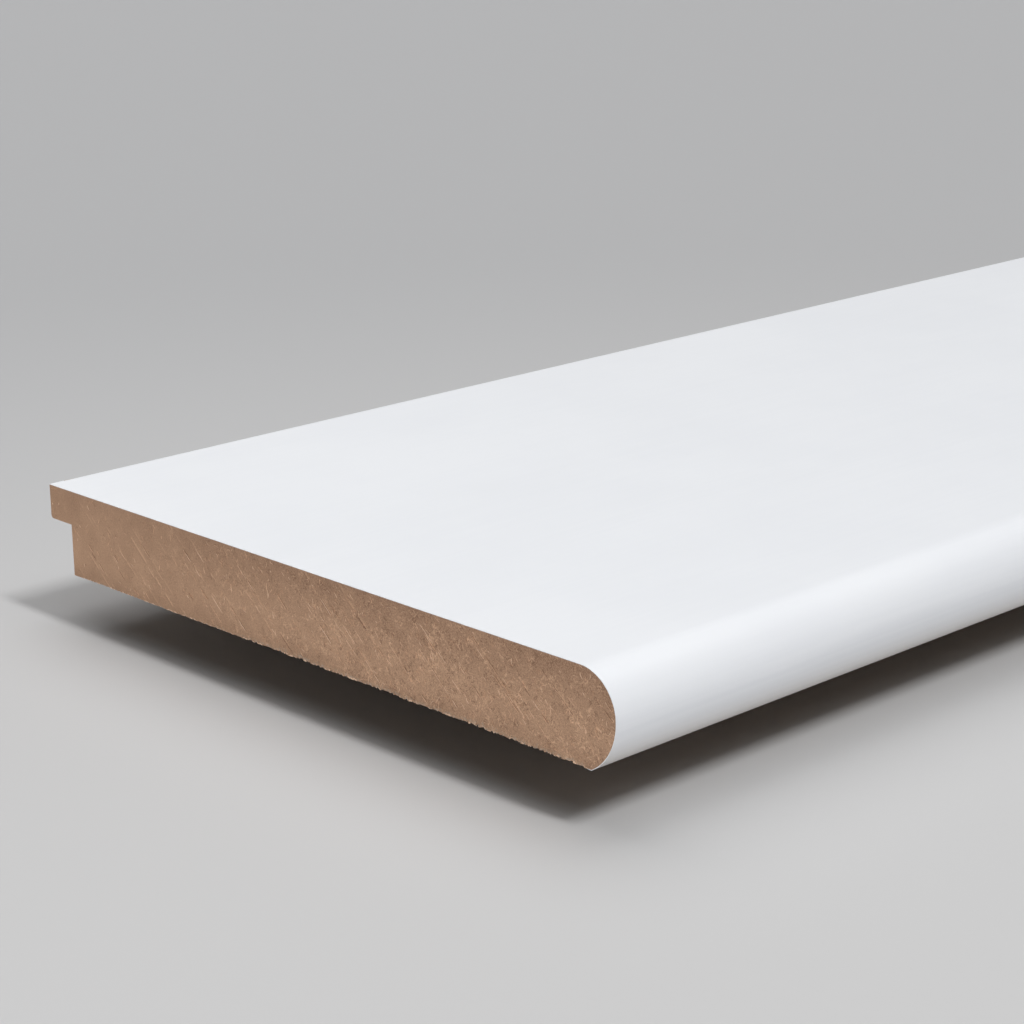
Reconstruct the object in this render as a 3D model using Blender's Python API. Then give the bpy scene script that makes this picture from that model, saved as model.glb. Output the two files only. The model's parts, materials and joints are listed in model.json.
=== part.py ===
"""Window board: a primed fibreboard moulding that closes the sill under a window.

One solid. The board has a round nose towards the room and, at the back, a thin tongue
along the top with a rebate under it, which slides over the window's own sill. The nose
is two arcs that meet at its foremost line: a tight one that runs into the top, and a
flatter one that meets the underside at a low corner. Both ends are sawn square.

Metres, +Z up. The board runs along X, the nose faces -Y and the tongue faces +Y.
The origin is on the underside, under the middle of the board's outer box.
"""

import math

import bmesh
import bpy

# Driving sizes
BOARD_LENGTH = 1.0
BOARD_THICKNESS = 0.025
BODY_WIDTH = 0.215  # from the front of the nose to the shoulder of the rebate
TONGUE_DEPTH = 0.010  # how far the tongue stands out of the shoulder
TONGUE_THICKNESS = 0.010
TONGUE_ARRIS_RADIUS = 0.001  # the tongue's lower corner, rubbed round
NOSE_UPPER_RADIUS = 0.0115
NOSE_UNDERCUT = 0.0079  # how far the nose's lower corner lies behind its foremost line

# How finely the round stretches are cut
NOSE_STEPS = 18
ARRIS_STEPS = 5

# Sizes that follow from the driving ones
OVERALL_WIDTH = BODY_WIDTH + TONGUE_DEPTH
FRONT_Y = -OVERALL_WIDTH / 2
FRONT_Z = BOARD_THICKNESS - NOSE_UPPER_RADIUS  # the height of the nose's foremost line
NOSE_LOWER_RADIUS = (FRONT_Z**2 + NOSE_UNDERCUT**2) / (2 * NOSE_UNDERCUT)
BACK_Y = OVERALL_WIDTH / 2
SHOULDER_Y = BACK_Y - TONGUE_DEPTH
TONGUE_UNDERSIDE_Z = BOARD_THICKNESS - TONGUE_THICKNESS

# Finish
PRIMER_COLOUR = (0.86, 0.875, 0.905, 1.0)
PRIMER_ROUGHNESS = 0.42
FIBREBOARD_COLOUR = (0.46, 0.295, 0.19, 1.0)
FIBREBOARD_ROUGHNESS = 0.92
ON_SURFACE = 1e-5  # how near a value lies to the one that it stands for
SHARP_ANGLE = math.radians(25)


def remove_old_objects():
    for old in list(bpy.data.objects):
        bpy.data.objects.remove(old, do_unlink=True)


def principled(name, colour, roughness):
    material = bpy.data.materials.new(name)
    material.use_nodes = True
    shader = material.node_tree.nodes["Principled BSDF"]
    shader.inputs["Base Color"].default_value = colour
    shader.inputs["Roughness"].default_value = roughness
    shader.inputs["Metallic"].default_value = 0.0
    material.diffuse_color = colour
    return material


def arc(centre_y, centre_z, radius, start, end, steps):
    """Points of a round stretch from the angle start to the angle end, in radians from +Y towards +Z."""
    angles = [start + (end - start) * i / steps for i in range(steps + 1)]
    return [(centre_y + radius * math.cos(a), centre_z + radius * math.sin(a)) for a in angles]


def nose():
    """The nose's two arcs, from the top down to the corner at the underside."""
    upper_y = FRONT_Y + NOSE_UPPER_RADIUS
    lower_y = FRONT_Y + NOSE_LOWER_RADIUS
    to_underside = math.atan2(FRONT_Z, NOSE_LOWER_RADIUS - NOSE_UNDERCUT)
    upper = arc(upper_y, FRONT_Z, NOSE_UPPER_RADIUS, math.pi / 2, math.pi, NOSE_STEPS)
    lower = arc(lower_y, FRONT_Z, NOSE_LOWER_RADIUS, math.pi, math.pi + to_underside, NOSE_STEPS)
    return upper + lower[1:]


def profile():
    """The board's outline across its length, as (y, z) points from the top back corner round the nose."""
    radius = min(TONGUE_ARRIS_RADIUS, TONGUE_THICKNESS / 2, TONGUE_DEPTH / 2)
    top_back = [(BACK_Y, BOARD_THICKNESS)]
    rebate = [(SHOULDER_Y, 0.0), (SHOULDER_Y, TONGUE_UNDERSIDE_Z)]
    arris = arc(BACK_Y - radius, TONGUE_UNDERSIDE_Z + radius, radius, -math.pi / 2, 0.0, ARRIS_STEPS)
    return top_back + nose() + rebate + arris


def is_primed(face):
    """The primer covers the top and the nose, down to where the nose meets the underside."""
    middle = face.calc_center_median()
    if abs(face.normal.x) > 0.5:
        return False
    return middle.z > BOARD_THICKNESS - ON_SURFACE or face.normal.y < -ON_SURFACE


def build_board():
    """Draws the outline at one end and pulls it along the whole length."""
    mesh = bpy.data.meshes.new("window_board")
    mesh.materials.append(principled("primer", PRIMER_COLOUR, PRIMER_ROUGHNESS))
    mesh.materials.append(principled("raw_fibreboard", FIBREBOARD_COLOUR, FIBREBOARD_ROUGHNESS))
    shape = bmesh.new()
    corners = [shape.verts.new((-BOARD_LENGTH / 2, y, z)) for y, z in profile()]
    end_face = shape.faces.new(corners)
    pulled = bmesh.ops.extrude_face_region(shape, geom=[end_face], use_keep_orig=True)
    far_points = [item for item in pulled["geom"] if isinstance(item, bmesh.types.BMVert)]
    bmesh.ops.translate(shape, verts=far_points, vec=(BOARD_LENGTH, 0.0, 0.0))
    bmesh.ops.recalc_face_normals(shape, faces=shape.faces)
    for face in shape.faces:
        face.material_index = 0 if is_primed(face) else 1
    shape.to_mesh(mesh)
    shape.free()
    mesh.shade_smooth()
    mesh.set_sharp_from_angle(angle=SHARP_ANGLE)
    board = bpy.data.objects.new("window_board", mesh)
    bpy.context.scene.collection.objects.link(board)
    return board


def main():
    remove_old_objects()
    build_board()


main()
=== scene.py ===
"""Looks of the window board: a primed fibreboard moulding, seen from its sawn near end.

One piece, board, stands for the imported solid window_board. Its box and its tongue come from the
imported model, and its nose repeats the model's two arcs. Its ends carry the saw marks, lifted
fibres and torn lower edge of a rough cut as real relief, fine at the near end and coarser at the
far one, and the long faces stay plain. The board and the floor have soft lamps of their own.

Metres, +Z up. The board runs along X, the nose faces -Y, the tongue faces +Y.
"""

import functools
import json
import math
from collections import namedtuple

import bmesh
import bpy
import numpy as np
from mathutils import Euler, Matrix, Vector


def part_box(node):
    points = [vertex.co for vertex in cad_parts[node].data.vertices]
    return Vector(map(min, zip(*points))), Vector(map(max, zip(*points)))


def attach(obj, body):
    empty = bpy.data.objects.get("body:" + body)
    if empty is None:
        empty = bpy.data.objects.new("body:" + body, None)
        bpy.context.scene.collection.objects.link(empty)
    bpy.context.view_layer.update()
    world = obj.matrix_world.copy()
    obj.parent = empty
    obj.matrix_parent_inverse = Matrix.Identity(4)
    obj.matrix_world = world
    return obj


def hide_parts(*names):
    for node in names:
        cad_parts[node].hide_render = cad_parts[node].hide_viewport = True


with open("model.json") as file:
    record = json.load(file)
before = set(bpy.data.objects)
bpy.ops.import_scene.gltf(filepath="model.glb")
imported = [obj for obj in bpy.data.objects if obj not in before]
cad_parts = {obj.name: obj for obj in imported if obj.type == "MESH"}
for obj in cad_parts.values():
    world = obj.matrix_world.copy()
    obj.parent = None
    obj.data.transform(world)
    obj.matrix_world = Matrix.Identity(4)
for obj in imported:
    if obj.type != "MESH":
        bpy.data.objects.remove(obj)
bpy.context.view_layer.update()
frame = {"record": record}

MM = 0.001

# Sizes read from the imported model
LOW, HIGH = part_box("window_board")
LENGTH = HIGH[0] - LOW[0]
THICKNESS = HIGH[2] - LOW[2]
FRONT_Y = LOW[1]
BACK_Y = HIGH[1]
MOUNTS = {mount["name"]: mount["pos_m"] for mount in frame["record"]["mounts"]}
SHOULDER_Y = MOUNTS["rebate_shoulder"][1]
TONGUE_Z = MOUNTS["tongue_underside"][2]

# The nose: a tight upper arc and a flatter lower one, which meet at its foremost line
UPPER_RADIUS = 11.5 * MM
UNDERCUT = 7.9 * MM
FRONT_Z = THICKNESS - UPPER_RADIUS
LOWER_RADIUS = (FRONT_Z**2 + UNDERCUT**2) / (2 * UNDERCUT)
CORNER_Y = FRONT_Y + UNDERCUT
TOP_Y = FRONT_Y + UPPER_RADIUS

# Small edges
TONGUE_ARRIS = 1.0 * MM
CRISP_ARRIS = 0.25 * MM
OVERSPRAY = 3.5 * MM  # how far the primer goes on under the board, behind the nose's lower corner
NEAR_EDGE = 0.01 * MM  # a point this close to a line counts as on it

# The photograph's camera: its place in metres, its turns in degrees, its focal length in pixels
FRAME_PIXELS = 1024
FOCAL_PIXELS = 2560.264
SENSOR = 36.0
CAMERA_PLACE = (-0.885048, -0.488000, 0.222763)
CAMERA_YAW = 43.3069
CAMERA_PITCH = 16.5041
CAMERA_ROLL = -0.698

# The floor lies this far below the board, as its shadow shows
FLOOR_DROP = 13.8 * MM


# Noise on plain arrays

TABLE_SIDE = 256  # the noise repeats after this many cells
CELL_START = 1000.0  # keeps the numbers of the cells above zero
OCTAVE_SEED = 31  # how far apart the seeds of a noise's layers are


@functools.lru_cache(maxsize=None)
def random_table(seed):
    return np.random.default_rng(seed).uniform(-1, 1, (TABLE_SIDE + 1, TABLE_SIDE + 1))


def lattice_noise(u, v, cell, seed):
    """Smooth value noise from -1 to 1 over u and v, with one random value at each cell corner."""
    table = random_table(seed)
    p = np.asarray(u) / cell + CELL_START
    q = np.asarray(v) / cell + CELL_START
    s = p - np.floor(p)
    t = q - np.floor(q)
    s = s * s * (3 - 2 * s)
    t = t * t * (3 - 2 * t)
    i = np.floor(p).astype(int) % TABLE_SIDE
    j = np.floor(q).astype(int) % TABLE_SIDE
    low = table[i, j] * (1 - s) + table[i + 1, j] * s
    high = table[i, j + 1] * (1 - s) + table[i + 1, j + 1] * s
    return low * (1 - t) + high * t


def rough_noise(u, v, cell, seed, octaves=3):
    """Value noise with finer, weaker copies of itself added, about -1 to 1."""
    layers = [lattice_noise(u, v, cell / 2**k, seed + OCTAVE_SEED * k) / 2**k for k in range(octaves)]
    return sum(layers) / (2 - 2.0 ** (1 - octaves))


def ease(value, start, end):
    """0 before start, 1 after end, smooth between."""
    t = np.clip((value - start) / (end - start), 0, 1)
    return t * t * (3 - 2 * t)


# Saw marks: straight scratches across a cut end

SAW_ANGLE = math.radians(41)
SAW_PITCH = 6.2 * MM
SAW_GAPS = (0.25, 1.6)  # gaps between scratches, as shares of the pitch
SAW_REACHES = (0.2, 0.9)  # half a scratch's length, as a share of the thickness
SAW_WIDTHS = (0.16, 0.28)  # half widths in millimetres
SAW_STRENGTHS = (0.35, 1.0)
SAW_FADE = 5 * MM  # over which a scratch begins and ends
SAW_WAVER = 0.08 * MM  # how far a scratch strays from a straight line
SAW_WAVER_SIZE = 9 * MM
SAW_BREAK_SIZE = 2.2 * MM  # of the gaps along a scratch
SAW_EDGE = 5  # half widths from a scratch's middle within which it counts
RIDGE_OFFSET = 2.0  # half widths from a scratch's middle to the ridge beside it
TWIN_CHANCE = 0.5  # how often a weaker scratch runs beside another
TWIN_GAPS = (1.0, 2.2)  # millimetres between the two
TWIN_REACH = (0.8, 0.7)  # the second one's two ends, as shares of the first one's
TWIN_STRENGTH = 0.8


@functools.lru_cache(maxsize=None)
def saw_lines(seed):
    """Scratches as (offset across, start along, end along, half width, strength)."""
    rng = np.random.default_rng(seed)
    across = BACK_Y * math.sin(SAW_ANGLE) + THICKNESS
    lines = []
    offset = -across
    while offset < across:
        offset += SAW_PITCH * rng.uniform(*SAW_GAPS)
        middle = rng.uniform(-0.5, 0.5) * THICKNESS
        reach = THICKNESS * rng.uniform(*SAW_REACHES)
        width = rng.uniform(*SAW_WIDTHS) * MM
        strength = rng.uniform(*SAW_STRENGTHS)
        lines.append((offset, middle - reach, middle + reach, width, strength))
        if rng.uniform() < TWIN_CHANCE:
            beside = offset + rng.uniform(*TWIN_GAPS) * MM
            start = middle - reach * TWIN_REACH[0]
            end = middle + reach * TWIN_REACH[1]
            lines.append((beside, start, end, width, strength * TWIN_STRENGTH))
    return lines


def saw_relief(y, z, seed):
    """Two fields over the cut face: the groove's depth and the light ridge beside it, each 0 to 1."""
    across = -y * math.sin(SAW_ANGLE) + z * math.cos(SAW_ANGLE)
    along = y * math.cos(SAW_ANGLE) + z * math.sin(SAW_ANGLE)
    across = across + SAW_WAVER * rough_noise(along, across, SAW_WAVER_SIZE, seed + 5)
    # how far along its scratch a point lies from where that scratch meets half the thickness
    run = (z - THICKNESS / 2) / math.sin(SAW_ANGLE)
    groove = np.zeros(y.shape)
    ridge = np.zeros(y.shape)
    for number, (offset, start, end, width, strength) in enumerate(saw_lines(seed)):
        near = np.abs(across - offset) < SAW_EDGE * width
        if not near.any():
            continue
        fade = ease(run[near], start, start + SAW_FADE) * (1 - ease(run[near], end - SAW_FADE, end))
        gaps = lattice_noise(along[near], 0 * along[near], SAW_BREAK_SIZE, seed + 71 * number)
        power = strength * fade * ease(gaps, -0.2, 0.5)
        d = (across[near] - offset) / width
        groove[near] = np.maximum(groove[near], power * np.exp(-d * d))
        ridge[near] = np.maximum(ridge[near], power * np.exp(-((d - RIDGE_OFFSET) ** 2)))
    return groove, ridge


TOOTH_SIDES = 400  # enough to reach across the board
TOOTH_STEPS = (0.35, 1.25)  # millimetres from a valley to the next tip
VALLEY_HEIGHTS = (0.0, 0.55)
TIP_RISES = (0.1, 0.45)


@functools.lru_cache(maxsize=None)
def jagged_line(seed):
    """A line of pointed teeth across the board, as places and heights from 0 to 1."""
    rng = np.random.default_rng(seed)
    steps = rng.uniform(*TOOTH_STEPS, TOOTH_SIDES) * MM
    heights = rng.uniform(*VALLEY_HEIGHTS, TOOTH_SIDES)
    heights[::2] += rng.uniform(*TIP_RISES, TOOTH_SIDES // 2)
    return FRONT_Y + np.cumsum(steps), heights


# A cut end: a grid of points that fills the profile

class CutEnd:
    """One sawn end. side is -1 at the near end and 1 at the far end.

    One step of the long faces is cut into nose, body, flat, arris and row steps here. torn,
    scratch and fuzz are the depths of the broken lower edge, the saw marks and the lifted nap.
    """

    # Steps of the long faces: the nose up to its lower corner, from there to the flat top, the
    # body, the tongue, its rounded corner, and below and above the level of the tongue's underside
    LIP_STEPS = 18
    BEND_STEPS = 6
    BODY_STEPS = 38
    FLAT_STEPS = 2
    ARRIS_STEPS = 2
    LOWER_STEPS = 3
    UPPER_STEPS = 2
    SKIN = 0.25 * MM  # the face's middle level lies this far inside the board's outer box
    LEAST_SKIN = 0.02 * MM
    WAVE_DEPTH = 0.02 * MM
    WAVE_SIZE = 11 * MM
    NAP_SIZE = 0.8 * MM
    ROLL_SHARE = 0.7  # how far the face rolls in over the torn edge, as a share of the torn depth
    ROLL_REACH = 0.6 * MM
    NICK_DEPTH = 0.16 * MM
    NICK_SIZE = 1.9 * MM
    SWELL_SIZE = 9 * MM  # of the broad rise and fall along the torn edge
    # Millimetres from the nose over which the torn edge begins, weakens and ends
    TORN_BEGINS = (8, 11)
    TORN_WEAKENS = (110, 170)
    TORN_ENDS = (206, 214)
    FUZZ_FADES = (50, 215)  # millimetres from the nose over which the nap lies down

    def __init__(self, side, nose, body, flat, arris, row, seed, torn, scratch, fuzz):
        self.side = side
        self.seed = seed
        self.torn = torn
        self.scratch = scratch
        self.fuzz = fuzz
        corner = math.acos(1 - UNDERCUT / LOWER_RADIUS)
        lip_y = FRONT_Y + LOWER_RADIUS * (1 - np.cos(np.linspace(0, corner, self.LIP_STEPS * nose + 1)))
        bend_start = math.acos(1 - UNDERCUT / UPPER_RADIUS)
        bend = np.linspace(bend_start, math.pi / 2, self.BEND_STEPS * nose + 1)
        bend_y = FRONT_Y + UPPER_RADIUS * (1 - np.cos(bend))
        body_y = np.linspace(TOP_Y, SHOULDER_Y, self.BODY_STEPS * body + 1)
        flat_y = np.linspace(SHOULDER_Y, BACK_Y - TONGUE_ARRIS, self.FLAT_STEPS * flat + 1)
        turn = np.linspace(0, math.pi / 2, self.ARRIS_STEPS * arris + 1)
        arris_y = BACK_Y - TONGUE_ARRIS + TONGUE_ARRIS * np.sin(turn)
        self.y = np.concatenate([lip_y, bend_y[1:], body_y[1:], flat_y[1:], arris_y[1:]])
        self.nose_end = (self.LIP_STEPS + self.BEND_STEPS) * nose
        self.shoulder = self.nose_end + self.BODY_STEPS * body
        self.low_rows = self.LOWER_STEPS * row
        self.rows = self.low_rows + self.UPPER_STEPS * row
        self.coarse_columns = set(range(0, self.nose_end, nose))
        self.coarse_columns |= set(range(self.nose_end, self.shoulder + 1, body))
        flat_end = self.shoulder + self.FLAT_STEPS * flat
        self.coarse_columns |= set(range(self.shoulder, flat_end + 1, flat))
        self.coarse_columns |= set(range(flat_end, len(self.y), arris))
        self.coarse_rows = set(range(0, self.rows + 1, row))

    def edges(self, y, worn):
        """The profile's lower edge, the level of the tongue's underside and the upper edge at y."""
        above = np.clip(TOP_Y - y, 0, UPPER_RADIUS)
        below = np.clip(FRONT_Y + LOWER_RADIUS - y, 0, LOWER_RADIUS)
        in_arris = np.clip(y - (BACK_Y - TONGUE_ARRIS), 0, TONGUE_ARRIS)
        tongue = TONGUE_Z + TONGUE_ARRIS - np.sqrt(TONGUE_ARRIS**2 - in_arris**2)
        low = np.maximum(FRONT_Z - np.sqrt(LOWER_RADIUS**2 - below**2), 0)
        high = FRONT_Z + np.sqrt(UPPER_RADIUS**2 - above**2) - CRISP_ARRIS * (y > BACK_Y - NEAR_EDGE)
        middle = np.where(y < TOP_Y, low + (high - low) * TONGUE_Z / THICKNESS, tongue)
        if worn:
            low = low + self.torn_depth(y)
            high = high - self.nicked_depth(y)
        return low, middle, high

    def torn_depth(self, y):
        """How far the lower edge is broken away, in pointed teeth: less towards the tongue."""
        from_nose = (y - FRONT_Y) / MM
        stretch = ease(from_nose, *self.TORN_BEGINS) * (1 - 0.6 * ease(from_nose, *self.TORN_WEAKENS))
        stretch = stretch * (1 - ease(from_nose, *self.TORN_ENDS))
        teeth = np.interp(y, *jagged_line(self.seed + 11))
        swell = 0.5 + 0.5 * lattice_noise(y, 0 * y, self.SWELL_SIZE, self.seed + 12)
        return self.torn * stretch * (0.12 + 0.12 * swell + 0.76 * teeth)

    def nicked_depth(self, y):
        """Small nicks in the upper edge, where the saw left the primer."""
        jag = np.clip(rough_noise(y, 0 * y, self.NICK_SIZE, self.seed + 13) - 0.05, 0, 1)
        return self.NICK_DEPTH * jag * ease(BACK_Y - y, 0, 1 * MM)

    def fuzziness(self, y):
        """The nap stands up more towards the nose than towards the tongue."""
        start, end = (FRONT_Y + distance * MM for distance in self.FUZZ_FADES)
        return 1 - 0.72 * ease(y, start, end)

    def recess(self, y, z):
        """How far the cut face lies inside the outer box, and the saw's grooves and ridges there."""
        groove, ridge = saw_relief(y, z, self.seed)
        above = np.clip(z - self.edges(y, worn=True)[0], 0, None)
        wave = self.WAVE_DEPTH * rough_noise(y, z, self.WAVE_SIZE, self.seed + 21)
        nap = self.fuzz * self.fuzziness(y) * rough_noise(y, z, self.NAP_SIZE, self.seed + 22)
        rolled = self.torn_depth(y) * self.ROLL_SHARE * np.exp(-above / self.ROLL_REACH)
        rolled = rolled * (y < SHOULDER_Y + NEAR_EDGE)
        scratch = self.scratch * (groove - 0.6 * ridge)
        inside = self.SKIN + wave + nap + rolled + scratch
        return np.clip(inside, self.LEAST_SKIN, None), groove, ridge

    def grid(self, first_id):
        """Numbers the grid's points. Returns the numbers, which are used, and the points' places."""
        columns, rows = len(self.y), self.rows
        y = np.repeat(self.y[:, None], rows + 1, 1)
        fraction = np.zeros((columns, rows + 1))
        row = np.arange(rows + 1)
        z = {}
        for worn in (False, True):
            low, middle, high = (edge[:, None] for edge in self.edges(self.y, worn))
            below = low + (middle - low) * row[None, :] / self.low_rows
            over = middle + (high - middle) * (row[None, :] - self.low_rows) / (rows - self.low_rows)
            z[worn] = np.where(row[None, :] < self.low_rows, below, over)
        ids = np.full((columns, rows + 1), -1)
        used = np.zeros((columns, rows + 1), bool)
        used[1 : self.shoulder + 1] = True
        used[self.shoulder + 1 :, self.low_rows :] = True
        used[0, 0] = True
        ids[used] = first_id + np.arange(used.sum())
        ids[0] = ids[0, 0]
        z[True][0, :] = z[False][0, :] = FRONT_Z
        return ids, used, y, z[True], z[False]

    def ring(self):
        """The outline as (column, row) steps: along the top to the nose, back below and up the tongue."""
        last, low, top = len(self.y) - 1, self.low_rows, self.rows
        steps = [(i, top) for i in range(last, 0, -1)] + [(0, 0)]
        steps += [(i, 0) for i in range(1, self.shoulder + 1)]
        steps += [(self.shoulder, j) for j in range(1, low + 1)]
        steps += [(i, low) for i in range(self.shoulder + 1, last + 1)]
        steps += [(last, j) for j in range(low + 1, top)]
        return steps

    def coarse_steps(self, steps):
        """Which of the outline's steps the long faces share."""
        last = len(self.y) - 1
        kept = []
        for k, (i, j) in enumerate(steps):
            upright = (i == self.shoulder and 0 < j <= self.low_rows) or (i == last and j < self.rows)
            if (j in self.coarse_rows) if upright else (i in self.coarse_columns):
                kept.append(k)
        return kept


# The whole board as one closed mesh

class Shell:
    """Points, faces and painted values of a mesh while it is put together."""

    FIELDS = ("groove", "ridge", "torn", "rim", "fibre")

    def __init__(self):
        self.points = []
        self.count = 0
        self.faces = []
        self.slots = []
        self.fields = {name: [] for name in self.FIELDS}
        self.girths = []

    def add_points(self, places, **fields):
        first = self.count
        places = np.asarray(places, float).reshape(-1, 3)
        self.points.append(places)
        self.count += len(places)
        for name in self.FIELDS:
            self.fields[name].append(np.broadcast_to(fields.get(name, 0.0), len(places)).astype(float))
        return np.arange(first, self.count)

    def set_girths(self, ids, outline):
        """Notes how far round the board each point of an outline lies, from the top back edge."""
        steps = np.linalg.norm(np.diff(outline, axis=0), axis=1)
        self.girths.append((ids, np.concatenate([[0.0], np.cumsum(steps)])))

    def add_face(self, corners, slot):
        self.faces.append(tuple(int(c) for c in corners))
        self.slots.append(slot)


PRIMED, CUT, MACHINED, UNDERSIDE = range(4)
RIM_FAR = 9.0  # a distance in millimetres that stands for nowhere near the primed edge
TORN_LOOK_REACH = 0.8 * MM  # how far up a cut face the look of its torn edge reaches
FULLY_TORN = 0.15 * MM  # wear of a long face from which on it looks as torn as it can


def slot_between(a, b):
    """Which finish a long face has between two points of the outline."""
    y = (a[0] + b[0]) / 2
    z = (a[1] + b[1]) / 2
    if z > THICKNESS - NEAR_EDGE or y < (TOP_Y if z > FRONT_Z else CORNER_Y):
        return PRIMED
    return UNDERSIDE if z < NEAR_EDGE else MACHINED


def primed_distance(y, z):
    """Distance from a point of the profile to the primed outline, in millimetres."""
    to_top = THICKNESS - z
    to_upper = UPPER_RADIUS - np.hypot(y - TOP_Y, z - FRONT_Z)
    to_lower = LOWER_RADIUS - np.hypot(y - FRONT_Y - LOWER_RADIUS, z - FRONT_Z)
    to_under = np.hypot(np.clip(y - CORNER_Y - OVERSPRAY, 0, None), z)
    over = np.where(y < TOP_Y, to_upper, to_top)
    under = np.where(y < CORNER_Y, to_lower, np.minimum(to_under, to_top))
    return np.where(z > FRONT_Z, over, under) / MM


def add_cut_face(shell, end):
    """The cut face itself. Returns its outline's point numbers, worn places and clean places."""
    ids, used, y, worn_z, clean_z = end.grid(shell.count)
    recess, groove, ridge = end.recess(y[used], worn_z[used])
    x = end.side * (LENGTH / 2 - recess)
    low = end.edges(y[used], worn=True)[0]
    torn = np.exp(-(worn_z[used] - low) / TORN_LOOK_REACH) * end.torn_depth(y[used]) / end.torn
    places = np.stack([x, y[used], worn_z[used]], 1)
    rim = np.clip(primed_distance(y[used], worn_z[used]), 0, RIM_FAR)
    shell.add_points(places, groove=groove, ridge=ridge, torn=np.clip(torn, 0, 1), rim=rim)
    for i in range(len(end.y) - 1):
        start = end.low_rows if i >= end.shoulder else 0
        for j in range(start, end.rows):
            corners = [ids[i, j], ids[i + 1, j], ids[i + 1, j + 1], ids[i, j + 1]]
            shell.add_face(corners[:1] + corners[1:3] if i == 0 else corners, CUT)
    steps = end.ring()
    picked = tuple(np.array(steps).T)
    number = np.full(ids.shape, 0)
    number[used] = np.arange(used.sum())
    number[0] = number[0, 0]
    outline = number[picked]
    clean = np.stack([y[picked], clean_z[picked]], 1)
    return ids[picked], places[outline], clean, end.coarse_steps(steps)


def add_band(shell, ring_a, ring_b, clean):
    """Faces between two outlines with as many points."""
    count = len(ring_a)
    for k in range(count):
        n = (k + 1) % count
        shell.add_face((ring_a[k], ring_a[n], ring_b[n], ring_b[k]), slot_between(clean[k], clean[n]))


def add_taper(shell, fine, coarse, kept, clean):
    """Faces between a fine outline and the coarse one that shares its kept points."""
    total = len(fine)
    for c, start in enumerate(kept):
        end = kept[(c + 1) % len(kept)]
        span = (end - start) % total
        slot = slot_between(clean[start], clean[(start + 1) % total])
        a, b = coarse[c], coarse[(c + 1) % len(kept)]
        half = span // 2
        for s in range(span):
            pair = (fine[(start + s) % total], fine[(start + s + 1) % total])
            shell.add_face(pair + (a if s < half else b,), slot)
        shell.add_face((fine[(start + half) % total], b, a), slot)


# Distances in from a cut end at which the outline is drawn again, to wear away from the cut
BAND_DEPTHS = [depth * MM for depth in (0.45, 0.7, 1.0, 1.4, 1.9, 2.6, 3.5, 5.0)]
FAR_BAND_DEPTHS = [depth * MM for depth in (0.6, 1.2, 2.2, 3.8)]
TAPER_LENGTH = 5 * MM  # from the innermost of those outlines to the long faces' first one
LONG_STEP = 20 * MM
WEAR_REACH = 0.9 * MM  # the least distance over which the torn edge wears away
WEAR_CHANGE_SIZE = 3 * MM
RAGGED_SIZE = 1.5 * MM
LEAST_BEHIND = 0.3  # how far at least a band lies behind the cut face, as a share of its depth


def add_end(shell, end, depths):
    """A cut face and the bands behind it. Returns the innermost outline and what the long faces need."""
    ring, worn, clean, kept = add_cut_face(shell, end)
    shell.set_girths(ring, clean)
    wear = worn[:, 2] - clean[:, 1]
    y, clean_z = clean.T
    farther = 0.5 + 0.5 * lattice_noise(y, clean_z, WEAR_CHANGE_SIZE, end.seed + 41)
    reach = WEAR_REACH * (1 + farther)
    for depth in depths:
        inside = LENGTH / 2 - depth
        x = end.side * np.minimum(inside, np.abs(worn[:, 0]) - LEAST_BEHIND * depth)
        ragged = 1 + 0.5 * rough_noise(y, clean_z + depth, RAGGED_SIZE, end.seed + 43)
        z = np.clip(clean_z + wear * np.exp(-((depth / reach) ** 2)) * ragged, 0, THICKNESS)
        torn = np.clip(np.abs(z - clean_z) / FULLY_TORN, 0, 1)
        following = shell.add_points(np.stack([x, y, z], 1), torn=torn, rim=RIM_FAR)
        shell.set_girths(following, clean)
        add_band(shell, ring, following, clean)
        ring = following
    return ring, clean, kept


FIBRE_SIDES = 3
FIBRE_TURN = 0.5  # radians by which a fibre's sides are turned round its path
NOT_ALONG = (1.0, 0.13, 0.07)  # a direction that no fibre runs along


def tube(shell, path, radius, tone):
    """A thin closed fibre along path, pointed at both ends. tone is -1 for dark, past 1 for pale fuzz with
    painted light on it.
    """
    path = np.asarray(path)
    tangent = np.gradient(path, axis=0)
    tangent /= np.linalg.norm(tangent, axis=1)[:, None] + 1e-12
    across = np.cross(tangent, NOT_ALONG)
    across /= np.linalg.norm(across, axis=1)[:, None] + 1e-12
    upward = np.cross(across, tangent)
    angles = FIBRE_TURN + 2 * math.pi * np.arange(FIBRE_SIDES) / FIBRE_SIDES
    rings = []
    for k in range(1, len(path) - 1):
        taper = radius * math.sin(math.pi * k / (len(path) - 1)) ** 0.5
        around = np.cos(angles)[:, None] * across[k] + np.sin(angles)[:, None] * upward[k]
        rings.append(shell.add_points(path[k] + taper * around, fibre=tone, rim=RIM_FAR))
    first, last = shell.add_points(path[[0, -1]], fibre=tone, rim=RIM_FAR)
    for s in range(FIBRE_SIDES):
        n = (s + 1) % FIBRE_SIDES
        shell.add_face((first, rings[0][n], rings[0][s]), CUT)
        for low, high in zip(rings, rings[1:]):
            shell.add_face((low[s], low[n], high[n], high[s]), CUT)
        shell.add_face((rings[-1][s], rings[-1][n], last), CUT)


# How far a laid fibre stays from the lower, upper and back edges
FIBRE_ABOVE_LOW = 0.15 * MM
FIBRE_BELOW_HIGH = 0.25 * MM
FIBRE_FROM_BACK = 0.4 * MM


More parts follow.
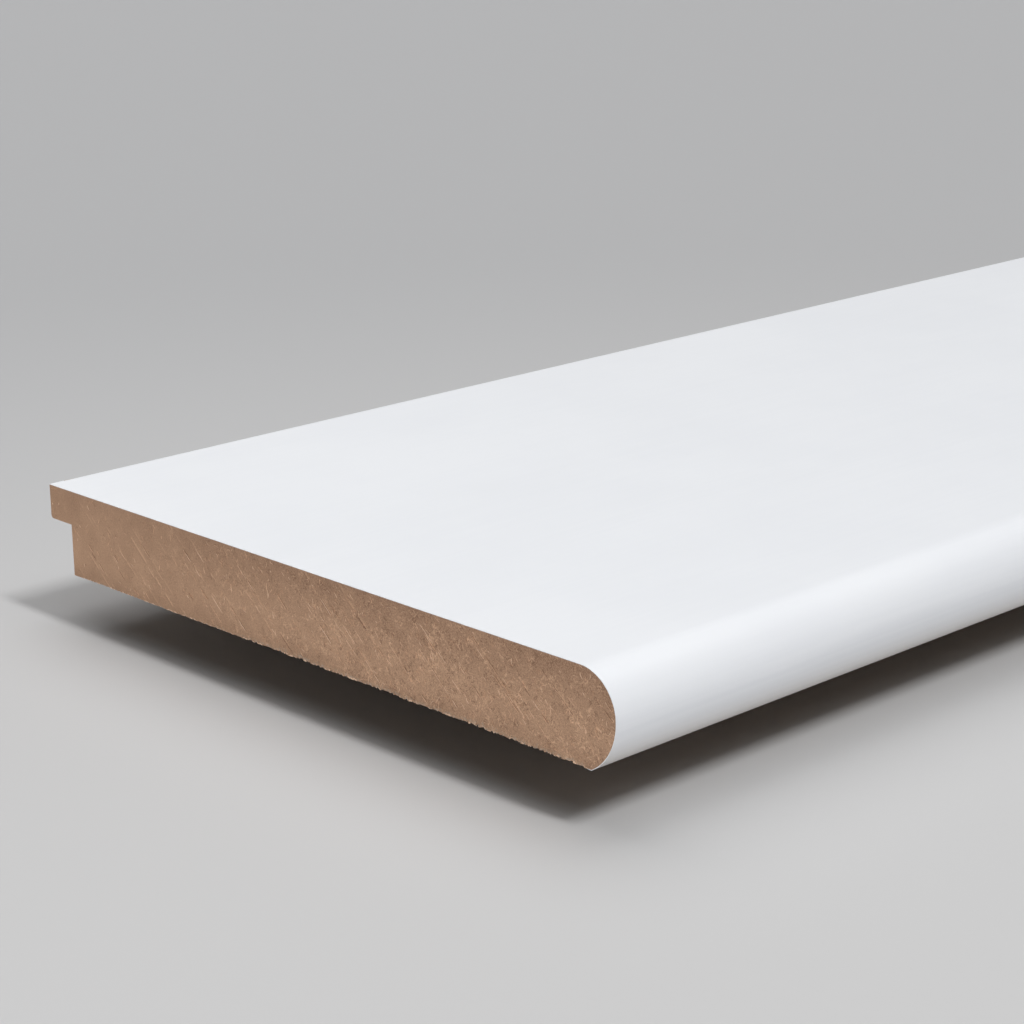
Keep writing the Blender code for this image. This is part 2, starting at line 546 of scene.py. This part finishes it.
def lay_fibre(shell, end, ys, zs, radius, tone, lift):
    """Lays a fibre on the cut face along (ys, zs) if all of it fits there. Returns whether it does."""
    low, middle, high = end.edges(ys, worn=True)
    floor = np.where(ys > SHOULDER_Y - 0.1 * MM, middle, low)
    outside = (zs < floor + FIBRE_ABOVE_LOW).any() or (zs > high - FIBRE_BELOW_HIGH).any()
    if outside or ys.max() > BACK_Y - FIBRE_FROM_BACK:
        return False
    recess = end.recess(ys, zs)[0] - lift
    x = end.side * (LENGTH / 2 - np.maximum(recess, radius))
    tube(shell, np.stack([x, ys, zs], 1), radius, tone)
    return True


# Loose fibres and pits on a cut face. Lengths and radii are in millimetres.
FibreKind = namedtuple("FibreKind", "lengths radii tones points")
LIGHT_FIBRES = FibreKind(lengths=(0.7, 2.4), radii=(0.065, 0.110), tones=(0.35, 1.15), points=5)
DARK_FIBRES = FibreKind(lengths=(0.5, 1.8), radii=(0.070, 0.115), tones=(-1.0, -0.35), points=5)
PITS = FibreKind(lengths=(0.25, 0.55), radii=(0.09, 0.14), tones=(-1.0, -0.5), points=4)
ALONG_SAW = 0.35  # the share of them that lie roughly along the saw's path


def add_face_fibres(shell, end, kind, count):
    """Short fibres that lie on the cut face, more of them towards the nose, some along the saw's path."""
    rng = np.random.default_rng(end.seed + 51 + int(100 * kind.lengths[0]))
    made = 0
    while made < count:
        y = rng.uniform(FRONT_Y, BACK_Y)
        z = rng.uniform(0, THICKNESS)
        if rng.uniform() > end.fuzziness(y) * (0.6 + 0.4 * lattice_noise(y, z, 10 * MM, end.seed + 52)):
            continue
        along_saw = rng.uniform() < ALONG_SAW
        heading = SAW_ANGLE + rng.normal(0, 0.3) if along_saw else rng.uniform(0, math.pi)
        turn = heading + rng.normal(0, 0.9) * np.linspace(-0.5, 0.5, kind.points)
        step = rng.uniform(*kind.lengths) * MM / (kind.points - 1)
        ys = y + np.cumsum(np.cos(turn)) * step
        zs = z + np.cumsum(np.sin(turn)) * step
        radius = rng.uniform(*kind.radii) * MM
        lift = rng.uniform(0.0, 0.05) * MM if kind is LIGHT_FIBRES else -0.4 * radius
        made += lay_fibre(shell, end, ys, zs, radius, rng.uniform(*kind.tones), lift)


# Burrs along the saw's path. Lengths without MM are in millimetres.
BURR_LENGTHS = (2.0, 7.5)
SHORT_BURR = 2.5 * MM
BURR_POINTS = (5, 8)  # along a stretch shorter than that, and along any other
BURR_SHARES = (0.2, 0.65)  # of the stretches: shown anyway, and shown only where the nap stands up
BURR_GAP = 0.9  # the average gap between two stretches
BURR_RADII = (0.09, 0.12)
BURR_DRIFTS = (0.06, 0.025)  # how far a whole stretch strays, and each of its points from the last
BURR_LIFT = 0.02 * MM
BURR_TONES = (0.7, 1.4)
SCORE_TONES = (0.3, 0.8)
SCORE_CHANCE = 0.12  # how often a stretch is a dark score instead
BESIDE_CHANCE = 0.45  # how often an opposite line runs beside a stretch: painted shade beside a light burr, painted light beside a dark score
BESIDE_SHIFT = 0.26 * MM


def add_saw_burrs(shell, end):
    """Broken lines of light burr along the saw's path, with a dark line of painted shade beside some
    stretches.
    """
    sine = math.sin(SAW_ANGLE)
    cosine = math.cos(SAW_ANGLE)
    rng = np.random.default_rng(end.seed + 81)
    for offset, start, finish, _, strength in saw_lines(end.seed):
        run = start + THICKNESS / 2
        while run < finish + THICKNESS / 2:
            length = rng.uniform(*BURR_LENGTHS) * MM
            points = BURR_POINTS[0] if length < SHORT_BURR else BURR_POINTS[1]
            height = (run + length * np.linspace(0, 1, points)) * sine
            along = (height - offset * cosine) / sine
            drift = offset + rng.normal(0, BURR_DRIFTS[0]) * MM
            drift = drift + np.cumsum(rng.normal(0, BURR_DRIFTS[1], points)) * MM
            dark = rng.uniform() < SCORE_CHANCE
            light = 0.6 + 0.4 * strength
            tone = -rng.uniform(*SCORE_TONES) if dark else rng.uniform(*BURR_TONES) * light
            radius = rng.uniform(*BURR_RADII) * MM
            fuzz = end.fuzziness(along[0] * cosine - offset * sine)
            kept = rng.uniform() < BURR_SHARES[0] + BURR_SHARES[1] * fuzz
            beside = kept and rng.uniform() < BESIDE_CHANCE
            # the line beside a stretch has the opposite tone: painted shade beside a light burr, painted
            # light beside a dark score
            for shift, side_tone, used in ((0.0, tone, kept), (BESIDE_SHIFT, -0.5 * tone, beside)):
                if used:
                    ys = along * cosine - (drift + shift) * sine
                    zs = along * sine + (drift + shift) * cosine
                    lay_fibre(shell, end, ys, zs, radius, side_tone, BURR_LIFT)
            run += length + rng.exponential(BURR_GAP) * MM


# Tufts at the torn edge. Lengths are in millimetres.
TUFT_FIBRES = (5, 9)  # fibres in a bundle, up to one less than the second number
TUFT_LENGTHS = (0.6, 1.4)
LONGEST_SINGLE = 0.9
TUFT_RADII = (0.07, 0.105)
TUFT_TONES = (1.0, 1.6)
TUFT_LOWEST = (0.13, 0.10)  # the least height of a fibre's root and tip over the underside's level
TUFT_SPREAD = 0.25  # how far a bundle's roots lie apart
TUFT_LEAN = 0.7  # sideways, for each unit of length
TUFT_ROOT = 0.30  # how far up the face a fibre starts
TUFT_DROP = 0.6  # how far its tip hangs down, as a share of its length
TUFT_SWAY = (-0.15, 0.12)  # how far its tip stands in or out
TUFT_POINTS = 5


def add_edge_tufts(shell, end, bundles, singles):
    """Light fuzz that hangs from the torn lower edge: small bundles, and single fibres between them."""
    rng = np.random.default_rng(end.seed + 61)
    groups = [rng.integers(*TUFT_FIBRES) for _ in range(bundles)] + [1] * singles
    for size in groups:
        y = rng.uniform(CORNER_Y + 1 * MM, SHOULDER_Y - 4 * MM)
        for _ in range(size):
            start = y + rng.normal(0, TUFT_SPREAD) * MM * (size > 1)
            lean = rng.normal(0, TUFT_LEAN)
            longest = TUFT_LENGTHS[1] if size > 1 else LONGEST_SINGLE
            length = rng.uniform(TUFT_LENGTHS[0], longest) * MM
            t = np.linspace(0, 1, TUFT_POINTS)
            ys = start + lean * length * t
            low = end.edges(ys, worn=True)[0]
            zs = low + TUFT_ROOT * MM * (1 - t) - length * TUFT_DROP * t**1.5
            zs = np.maximum(zs, np.interp(t, (0, 1), TUFT_LOWEST) * MM)
            recess = end.recess(ys, np.maximum(zs, low))[0]
            out = rng.uniform(*TUFT_SWAY) * MM * t
            radius = rng.uniform(*TUFT_RADII) * MM
            x = end.side * (LENGTH / 2 - np.maximum(recess - out, radius))
            tube(shell, np.stack([x, ys, zs], 1), radius, rng.uniform(*TUFT_TONES))


def build_board():
    """Both cut ends, the long faces between them, and the fibres on the ends."""
    shell = Shell()
    near = CutEnd(-1, nose=2, body=16, flat=13, arris=3, row=12, seed=7,
                  torn=0.60 * MM, scratch=0.045 * MM, fuzz=0.06 * MM)
    far = CutEnd(1, nose=1, body=6, flat=4, arris=1, row=6, seed=191,
                 torn=0.50 * MM, scratch=0.06 * MM, fuzz=0.05 * MM)
    near_ring, near_clean, near_kept = add_end(shell, near, BAND_DEPTHS)
    far_ring, far_clean, far_kept = add_end(shell, far, FAR_BAND_DEPTHS)
    outline = near_clean[near_kept]
    start = -LENGTH / 2 + BAND_DEPTHS[-1] + TAPER_LENGTH
    finish = LENGTH / 2 - FAR_BAND_DEPTHS[-1] - TAPER_LENGTH
    stations = np.linspace(start, finish, round((finish - start) / LONG_STEP) + 1)
    rings = []
    for x in stations:
        places = np.column_stack([np.full(len(outline), x), outline])
        rings.append(shell.add_points(places, rim=RIM_FAR))
        shell.set_girths(rings[-1], outline)
    add_taper(shell, near_ring, rings[0], near_kept, near_clean)
    for a, b in zip(rings, rings[1:]):
        add_band(shell, a, b, outline)
    add_taper(shell, far_ring, rings[-1], far_kept, far_clean)
    add_face_fibres(shell, near, LIGHT_FIBRES, count=850)
    add_face_fibres(shell, near, DARK_FIBRES, count=420)
    add_face_fibres(shell, near, PITS, count=240)
    add_saw_burrs(shell, near)
    add_edge_tufts(shell, near, bundles=30, singles=150)
    add_saw_burrs(shell, far)
    add_edge_tufts(shell, far, bundles=12, singles=20)
    return shell


# Where the parts of the board lie on its flat map, as shares of the map's side
MAP_MARGIN = 0.01
NEAR_STRIP = 0.006
FAR_STRIP = 0.126
LONG_STRIP = (0.246, 0.99)
MAP_ENDS = 10 * MM  # the long faces get more room within this distance of an end
MAP_END_SHARE = 0.03


def unwrap(mesh, shell):
    """Lays both ends and the long faces flat in strips, with each fibre over the place where it lies."""
    girth = np.zeros(shell.count)
    for ids, values in shell.girths:
        girth[ids] = values
    total = girth.max() + CRISP_ARRIS
    corner = np.zeros(len(mesh.loops), int)
    mesh.loops.foreach_get("vertex_index", corner)
    sizes = np.zeros(len(mesh.polygons), int)
    mesh.polygons.foreach_get("loop_total", sizes)
    owner = np.repeat(np.arange(len(sizes)), sizes)
    slots = np.array(shell.slots)[owner]
    x, y, z = np.concatenate(shell.points)[corner].T
    room = 1 - 2 * MAP_MARGIN
    scale = room / (BACK_Y - FRONT_Y)
    u = MAP_MARGIN + (y - FRONT_Y) * scale
    v = np.where(x < 0, NEAR_STRIP, FAR_STRIP) + z * scale
    half = LENGTH / 2
    along = np.interp(x, (-half, MAP_ENDS - half, half - MAP_ENDS, half),
                      (0, MAP_END_SHARE, 1 - MAP_END_SHARE, 1))
    around = girth[corner]
    farthest = np.zeros(len(sizes))
    np.maximum.at(farthest, owner, around)
    around = np.where((around == 0) & (farthest[owner] > total / 2), total, around)
    long_face = slots != CUT
    u[long_face] = MAP_MARGIN + room * along[long_face]
    v[long_face] = LONG_STRIP[0] + (LONG_STRIP[1] - LONG_STRIP[0]) * around[long_face] / total
    layer = mesh.uv_layers.new(name="OFBake")
    layer.data.foreach_set("uv", np.stack([u, v], 1).astype(np.float32).ravel())


SHARP_ANGLE = math.radians(50)  # edges that turn more than this look sharp


def make_object(shell, name, materials):
    mesh = bpy.data.meshes.new(name)
    mesh.from_pydata(np.concatenate(shell.points).tolist(), [], shell.faces)
    for material in materials:
        mesh.materials.append(material)
    mesh.polygons.foreach_set("material_index", shell.slots)
    for field, values in shell.fields.items():
        layer = mesh.attributes.new(field, "FLOAT", "POINT")
        layer.data.foreach_set("value", np.concatenate(values).astype(np.float32))
    unwrap(mesh, shell)
    shape = bmesh.new()
    shape.from_mesh(mesh)
    bmesh.ops.recalc_face_normals(shape, faces=shape.faces)
    shape.to_mesh(mesh)
    shape.free()
    mesh.shade_smooth()
    mesh.set_sharp_from_angle(angle=SHARP_ANGLE)
    made = bpy.data.objects.new(name, mesh)
    bpy.context.scene.collection.objects.link(made)
    return made


# Node helpers

def node(tree, kind, settings=None, **inputs):
    """Adds a node. Inputs are given by socket name, with _ for a space, or as i0, i1 by position."""
    made = tree.nodes.new(kind)
    for key, value in (settings or {}).items():
        setattr(made, key, value)
    for key, value in inputs.items():
        by_place = key[0] == "i" and key[1:].isdigit()
        socket = made.inputs[int(key[1:]) if by_place else key.replace("_", " ")]
        if isinstance(value, bpy.types.NodeSocket):
            tree.links.new(value, socket)
        else:
            socket.default_value = value
    return made


def maths(tree, operation, a, b=0.0, c=0.0, clamp=False):
    made = node(tree, "ShaderNodeMath", {"operation": operation, "use_clamp": clamp}, i0=a, i1=b, i2=c)
    return made.outputs[0]


def between(tree, value, low, high, out_low=0.0, out_high=1.0, kind="SMOOTHSTEP"):
    """Value mapped from low to high onto the output range, and held at its ends."""
    made = node(tree, "ShaderNodeMapRange", {"interpolation_type": kind}, Value=value,
                From_Min=low, From_Max=high, To_Min=out_low, To_Max=out_high)
    return made.outputs["Result"]


def blend(tree, factor, a, b):
    made = node(tree, "ShaderNodeMix", {"data_type": "RGBA", "blend_type": "MIX"}, i0=factor, i6=a, i7=b)
    return made.outputs[2]


def field(tree, name):
    return node(tree, "ShaderNodeAttribute", {"attribute_name": name}).outputs["Fac"]


def millimetres(tree, stretch=(1.0, 1.0, 1.0), turn=(0.0, 0.0, 0.0)):
    """Places on the object in millimetres, stretched and turned for streaks."""
    place = node(tree, "ShaderNodeTexCoord").outputs["Object"]
    scale = tuple(1000.0 * part for part in stretch)
    turned = node(tree, "ShaderNodeMapping", {"vector_type": "TEXTURE"}, Vector=place, Rotation=turn)
    return node(tree, "ShaderNodeMapping", Vector=turned.outputs[0], Scale=scale).outputs[0]


def cloud(tree, vector, size, detail=2.0, roughness=0.5, distortion=0.0):
    """Noise from 0 to 1 whose blotches are about size millimetres across."""
    made = node(tree, "ShaderNodeTexNoise", Vector=vector, Scale=1.0 / size, Detail=detail,
                Roughness=roughness, Distortion=distortion)
    return made.outputs["Fac"]


def principled(name):
    material = bpy.data.materials.new(name)
    material.use_nodes = True
    tree = material.node_tree
    return material, tree, tree.nodes["Principled BSDF"]


def wire(tree, shader, **inputs):
    for key, value in inputs.items():
        socket = shader.inputs[key.replace("_", " ")]
        if isinstance(value, bpy.types.NodeSocket):
            tree.links.new(value, socket)
        else:
            socket.default_value = value


def bump(tree, height, distance, strength):
    made = node(tree, "ShaderNodeBump", Strength=strength, Distance=distance, Height=height)
    return made.outputs[0]


# Finishes

# Colours. The thin primer colour serves both for the primer sprayed thinly round the nose's lower corner
# and as painted shade low on the nose.
PRIMER_WHITE = (0.835, 0.851, 0.880, 1.0)
PRIMER_SHADE = (0.811, 0.828, 0.860, 1.0)
THIN_PRIMER_AND_NOSE_SHADE = (0.675, 0.646, 0.625, 1.0)
FUZZ_PALE_AND_LIT = (0.90, 0.70, 0.53, 1.0)
LINT_PALE = (0.40, 0.345, 0.285, 1.0)
CUT_LIGHT = (0.680, 0.434, 0.283, 1.0)
CUT_DARK = (0.262, 0.153, 0.097, 1.0)
MACHINED_LIGHT = (0.470, 0.315, 0.205, 1.0)
MACHINED_DARK = (0.230, 0.145, 0.092, 1.0)
FACE_LIGHT = (0.500, 0.365, 0.255, 1.0)
FACE_DARK = (0.300, 0.205, 0.138, 1.0)

NOSE_SHADE_FADE = (0.0, 10.5)  # heights in millimetres over which the painted shade low on the nose fades out
STREAK_FADE = (10.0, 22.0)  # heights over which its long streaks give way to soft clouds

# Where a cut face changes, in millimetres: ROUGH_FADE is where its fibres get fewer towards the
# tongue, and the others are its dense, darker skins along the top, the underside and the nose
ROUGH_FADE = (-62, 103)
TOP_SKIN = (10.0, THICKNESS / MM)
TOP_SKIN_FADE = (10, 105)
UNDER_SKIN = (0.0, 5.5)
NOSE_SKIN = (-112, -95)


def primer_material():
    """Factory primer: smooth and satin, with a faint nap and long streaks, and painted shade low on the
    nose.
    """
    material, tree, shader = principled("primer")
    plain = millimetres(tree)
    lengthwise = millimetres(tree, stretch=(0.02, 1.0, 1.0))
    cloudy = cloud(tree, plain, 45, detail=3)
    streak = cloud(tree, lengthwise, 1.3, detail=3)
    nap = cloud(tree, plain, 0.55, detail=3)
    height = node(tree, "ShaderNodeSeparateXYZ", i0=plain).outputs["Z"]
    streaky = between(tree, height, *STREAK_FADE, 1.0, 0.3)
    tone = maths(tree, "MULTIPLY_ADD", maths(tree, "SUBTRACT", streak, cloudy), streaky, cloudy)
    colour = blend(tree, between(tree, tone, 0.3, 0.7), PRIMER_WHITE, PRIMER_SHADE)
    # painted shade: the primer is darkened low on the nose, strongest at the bottom and fading out upwards
    colour = blend(tree, between(tree, height, *NOSE_SHADE_FADE, 1.0, 0.0), colour, THIN_PRIMER_AND_NOSE_SHADE)
    roughness = maths(tree, "MULTIPLY_ADD", cloud(tree, lengthwise, 1.8), 0.10, 0.36)
    relief = maths(tree, "ADD", maths(tree, "MULTIPLY", nap, 0.6), maths(tree, "MULTIPLY", streak, 0.4))
    wire(tree, shader, Base_Color=colour, Roughness=roughness, Normal=bump(tree, relief, 0.02 * MM, 0.5))
    shader.inputs["Specular IOR Level"].default_value = 0.4
    return material


def centred(tree, vector, size, **settings):
    """Noise from -0.5 to 0.5."""
    return maths(tree, "SUBTRACT", cloud(tree, vector, size, **settings), 0.5)


def add_layers(tree, tone, *layers):
    """The tone with each layer added, times its strength."""
    for layer, strength in layers:
        tone = maths(tree, "MULTIPLY_ADD", layer, strength, tone)
    return tone


def curling_threads(tree, place, rough):
    """Two sets of thin, curling threads in patches, which show most where the face is rough."""
    noise = node(tree, "ShaderNodeTexNoise", Vector=place, Scale=0.9, Detail=1.0).outputs["Color"]
    bent = node(tree, "ShaderNodeVectorMath", {"operation": "ADD"}, i0=place, i1=noise).outputs[0]
    threads = []
    for size in (1.5, 1.1):
        away = maths(tree, "ABSOLUTE", centred(tree, bent, size, detail=1.0, distortion=0.6))
        patch = between(tree, cloud(tree, place, 2.2 * size, detail=1.0), 0.50, 0.62)
        thread = maths(tree, "MULTIPLY", between(tree, away, 0.0, 0.06, 1.0, 0.0), patch)
        threads.append(maths(tree, "MULTIPLY", thread, rough))
    return threads


def cut_tone(tree, width, height, tone):
    """Darkens the dense skins of a cut face, and adds its painted ridges and fibres, and painted shade in
    the saw's grooves.
    """
    top_skin = between(tree, height, *TOP_SKIN, kind="LINEAR")
    to_tongue = between(tree, width, *TOP_SKIN_FADE, 1.0, 0.4, kind="LINEAR")
    top_skin = maths(tree, "MULTIPLY", top_skin, to_tongue)
    under_skin = between(tree, height, *UNDER_SKIN, 1.0, 0.0, kind="LINEAR")
    nose_skin = between(tree, width, *NOSE_SKIN, 1.0, 0.0, kind="LINEAR")
    tone = add_layers(tree, tone, (top_skin, -0.27), (under_skin, -0.20), (nose_skin, -0.11))
    # the groove field darkens the saw's grooves with painted shade
    painted = (("ridge", 0.45), ("groove", -0.16), ("fibre", 0.65))
    return add_layers(tree, tone, *((field(tree, name), strength) for name, strength in painted))


def cut_colour(tree, place, colour):
    """Adds pale fuzz on the fibres, partly painted light that lifts them out of their shade, lint at the
    torn edge, and the primer seen edge on at the rim.
    """
    # pale fibre colour together with painted light, which lifts the fibres and tufts out of their own shade
    fuzz = between(tree, field(tree, "fibre"), 0.5, 1.6, 0.0, 0.9)
    colour = blend(tree, fuzz, colour, FUZZ_PALE_AND_LIT)
    patches = between(tree, cloud(tree, place, 0.6, detail=2), 0.45, 0.60)
    torn = between(tree, field(tree, "torn"), 0.05, 0.35, 0.0, 0.55)
    colour = blend(tree, maths(tree, "MULTIPLY", patches, torn), colour, LINT_PALE)
    rim = between(tree, field(tree, "rim"), 0.10, 0.20, 1.0, 0.0)
    return blend(tree, rim, colour, PRIMER_WHITE)


def oversprayed(tree, place, width, colour):
    """Adds the primer that ran a little way round the nose's lower corner, with a ragged edge."""
    ragged = maths(tree, "MULTIPLY_ADD", cloud(tree, place, 2.5, detail=3), 2.4, width)
    edge = (CORNER_Y + OVERSPRAY) / MM + 1.2
    primed = between(tree, ragged, edge - 0.7, edge + 0.7, 1.0, 0.0)
    return blend(tree, primed, colour, THIN_PRIMER_AND_NOSE_SHADE)


def fibreboard_material(name, light, dark, curl, grain, streak, cut=False, overspray=False):
    """Bare fibreboard. curl, grain and streak say how strongly threads, grain and a cutter's lines show."""
    material, tree, shader = principled(name)
    place = millimetres(tree)
    parts = node(tree, "ShaderNodeSeparateXYZ", i0=place).outputs
    width, height = parts["Y"], parts["Z"]
    rough = between(tree, width, *ROUGH_FADE, 1.0, 0.18) if cut else 1.0
    half_rough = maths(tree, "MULTIPLY_ADD", rough, 0.5, 0.5)
    threads = curling_threads(tree, place, rough)
    fine = centred(tree, place, 0.42, detail=2, roughness=0.6)
    fine = maths(tree, "MULTIPLY", fine, half_rough)
    finest = maths(tree, "MULTIPLY", centred(tree, place, 0.20, detail=1), rough)
    broad = centred(tree, place, 7.0, detail=2)
    lines = centred(tree, millimetres(tree, stretch=(0.01, 1.0, 1.0)), 0.8, detail=2)
    tone = add_layers(tree, 0.5, (fine, grain), (finest, grain), (broad, 0.35), (lines, streak),
                      (threads[0], curl), (threads[1], -curl))
    if cut:
        tone = cut_tone(tree, width, height, tone)
    tone = maths(tree, "MULTIPLY_ADD", field(tree, "torn"), 0.05, tone, clamp=True)
    colour = blend(tree, tone, dark, light)
    if cut:
        colour = cut_colour(tree, place, colour)
    if overspray:
        colour = oversprayed(tree, place, width, colour)
    relief = maths(tree, "MULTIPLY_ADD", threads[0], 0.6, fine)
    relief = bump(tree, relief, 0.10 * MM, 0.6 * grain)
    wire(tree, shader, Base_Color=colour, Roughness=0.9, Normal=relief)
    shader.inputs["Specular IOR Level"].default_value = 0.25
    return material


# The stage

# Painted light on the floor: a lit colour round the board's near end that fades to a dimmer one farther off
FLOOR_POOL_LIT = (0.595, 0.594, 0.596, 1.0)
FLOOR_POOL_DIM = (0.439, 0.441, 0.448, 1.0)
FLOOR_POOL_CENTRE = (-0.62, -0.28)
FLOOR_POOL_FADE = (0.15, 0.95)


def floor_material():
    """Pale grey, with a painted pool of light: lightest round the board's near end, darker farther off."""
    material, tree, shader = principled("studio_floor")
    place = node(tree, "ShaderNodeTexCoord").outputs["Object"]
    away = node(tree, "ShaderNodeVectorMath", {"operation": "DISTANCE"}, i0=place,
                i1=(FLOOR_POOL_CENTRE[0], FLOOR_POOL_CENTRE[1], -FLOOR_DROP)).outputs["Value"]
    colour = blend(tree, between(tree, away, *FLOOR_POOL_FADE), FLOOR_POOL_LIT, FLOOR_POOL_DIM)
    wire(tree, shader, Base_Color=colour, Roughness=0.75)
    shader.inputs["Specular IOR Level"].default_value = 0.2
    return material


FLAT_RADIUS = 5.0
SWEEP_RADIUS = 3.0
SWEEP_STEPS = 16
WALL_HEIGHT = 1.0
STAGE_SIDES = 96
WELD_REACH = 0.1 * MM


def build_stage():
    """A round floor that sweeps up into a low wall all round."""
    profile = [(0.0, 0.0), (FLAT_RADIUS * 0.5, 0.0)]
    for step in range(SWEEP_STEPS + 1):
        turn = math.pi / 2 * step / SWEEP_STEPS
        radius = FLAT_RADIUS + SWEEP_RADIUS * math.sin(turn)
        profile.append((radius, SWEEP_RADIUS * (1 - math.cos(turn))))
    profile.append((FLAT_RADIUS + SWEEP_RADIUS, SWEEP_RADIUS + WALL_HEIGHT))
    shape = bmesh.new()
    points = [shape.verts.new((r, 0.0, z - FLOOR_DROP)) for r, z in profile]
    edges = [shape.edges.new(pair) for pair in zip(points, points[1:])]
    bmesh.ops.spin(shape, geom=points + edges, cent=(0, 0, 0), axis=(0, 0, 1), angle=2 * math.pi,
                   steps=STAGE_SIDES, use_duplicate=False)
    bmesh.ops.remove_doubles(shape, verts=shape.verts, dist=WELD_REACH)
    bmesh.ops.recalc_face_normals(shape, faces=shape.faces)
    if max(shape.faces, key=lambda face: -face.calc_center_median().length).normal.z < 0:
        bmesh.ops.reverse_faces(shape, faces=shape.faces)
    mesh = bpy.data.meshes.new("studio_floor")
    shape.to_mesh(mesh)
    shape.free()
    mesh.shade_smooth()
    mesh.materials.append(floor_material())
    floor = bpy.data.objects.new("studio_floor", mesh)
    bpy.context.scene.collection.objects.link(floor)
    return floor


# Light

SKY_STRENGTH = 0.018
SKY_COLOUR = (1.0, 0.93, 0.82, 1.0)
# Far lamps: name, lean along X and Y for each unit of height, spread in degrees, strength
BOARD_LAMPS = (
    ("board_key", (0.29, -0.25), 11, 1.84),
    ("board_high", (0.38, 0.25), 24, 0.47),
    ("board_middle", (0.38, 0.65), 24, 0.47),
    ("board_low", (0.38, 1.15), 24, 0.47),
)
FLOOR_LAMPS = (
    ("floor_key_high", (0.084, -0.465), 6, 0.49),
    ("floor_key_middle", (0.084, -0.58), 6, 0.49),
    ("floor_key_low", (0.084, -0.695), 6, 0.49),
    ("floor_side", (0.36, 0.49), 54, 1.26),
    ("floor_broad", (0.084, -0.275), 70, 0.70),
)
FILL_PLACE = (-2.5, -2.1, 0.8)  # seen from the near end
FILL_SIZE = 2.4
FILL_POWER = 67.0
LAMP_HEIGHT = 3.0  # a far lamp's direction alone counts, so this only says where it is drawn


def aim(thing, target):
    """Points a lamp's or camera's -Z axis at a place."""
    direction = Vector(target) - thing.location
    thing.rotation_euler = direction.to_track_quat("-Z", "Y").to_euler()


def area_light(name, place, target, size, power):
    lamp = bpy.data.lights.new(name, "AREA")
    lamp.shape = "DISK"
    lamp.size = size
    lamp.energy = power
    made = bpy.data.objects.new(name, lamp)
    made.location = place
    aim(made, target)
    bpy.context.scene.collection.objects.link(made)
    return made


def sun_light(name, slope, spread, strength):
    """A far, soft lamp that leans by slope along X and Y and looks spread degrees wide."""
    lamp = bpy.data.lights.new(name, "SUN")
    lamp.angle = math.radians(spread)
    lamp.energy = strength
    made = bpy.data.objects.new(name, lamp)
    made.location = (slope[0] * LAMP_HEIGHT, slope[1] * LAMP_HEIGHT, LAMP_HEIGHT)
    aim(made, (0, 0, 0))
    bpy.context.scene.collection.objects.link(made)
    return made


def only_lights(lamp, *things):
    """Limits a lamp to the given objects."""
    group = bpy.data.collections.new(lamp.name + "_lit")
    for thing in things:
        group.objects.link(thing)
    lamp.light_linking.receiver_collection = group


def build_light(board, floor):
    """Soft light. The board and the floor each have their own lamps, so that both match the photograph."""
    world = bpy.data.worlds.new("studio_sky")
    bpy.context.scene.world = world
    world.use_nodes = True
    sky = world.node_tree.nodes["Background"]
    sky.inputs["Color"].default_value = SKY_COLOUR
    sky.inputs["Strength"].default_value = SKY_STRENGTH
    for lamps, thing in ((BOARD_LAMPS, board), (FLOOR_LAMPS, floor)):
        for lamp in lamps:
            only_lights(sun_light(*lamp), thing)
    end = (-LENGTH / 2, 0.0, THICKNESS)
    place = tuple(a + b for a, b in zip(end, FILL_PLACE))
    fill = area_light("end_fill", place, end, FILL_SIZE, FILL_POWER)
    only_lights(fill, board)
    bpy.context.scene.view_settings.view_transform = "Standard"
    bpy.context.scene.view_settings.look = "None"


def build_camera():
    data = bpy.data.cameras.new("photo_camera")
    data.sensor_fit = "HORIZONTAL"
    data.sensor_width = SENSOR
    data.lens = SENSOR * FOCAL_PIXELS / FRAME_PIXELS
    data.clip_start = 0.01
    data.clip_end = 100
    camera = bpy.data.objects.new("photo_camera", data)
    level = Euler((math.radians(90 - CAMERA_PITCH), 0, math.radians(-CAMERA_YAW))).to_matrix().to_4x4()
    roll = Matrix.Rotation(math.radians(CAMERA_ROLL), 4, "Z")
    camera.matrix_world = Matrix.Translation(CAMERA_PLACE) @ level @ roll
    bpy.context.scene.collection.objects.link(camera)
    bpy.context.scene.camera = camera


board = make_object(build_board(), "board", [
    primer_material(),
    fibreboard_material("fibreboard_cut", CUT_LIGHT, CUT_DARK,
                        curl=0.45, grain=1.0, streak=0.0, cut=True),
    fibreboard_material("fibreboard_machined", MACHINED_LIGHT, MACHINED_DARK,
                        curl=0.15, grain=0.5, streak=0.6),
    fibreboard_material("fibreboard_face", FACE_LIGHT, FACE_DARK,
                        curl=0.2, grain=0.5, streak=0.2, overspray=True),
])
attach(board, "root")
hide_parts("window_board")

build_light(board, build_stage())
build_camera()
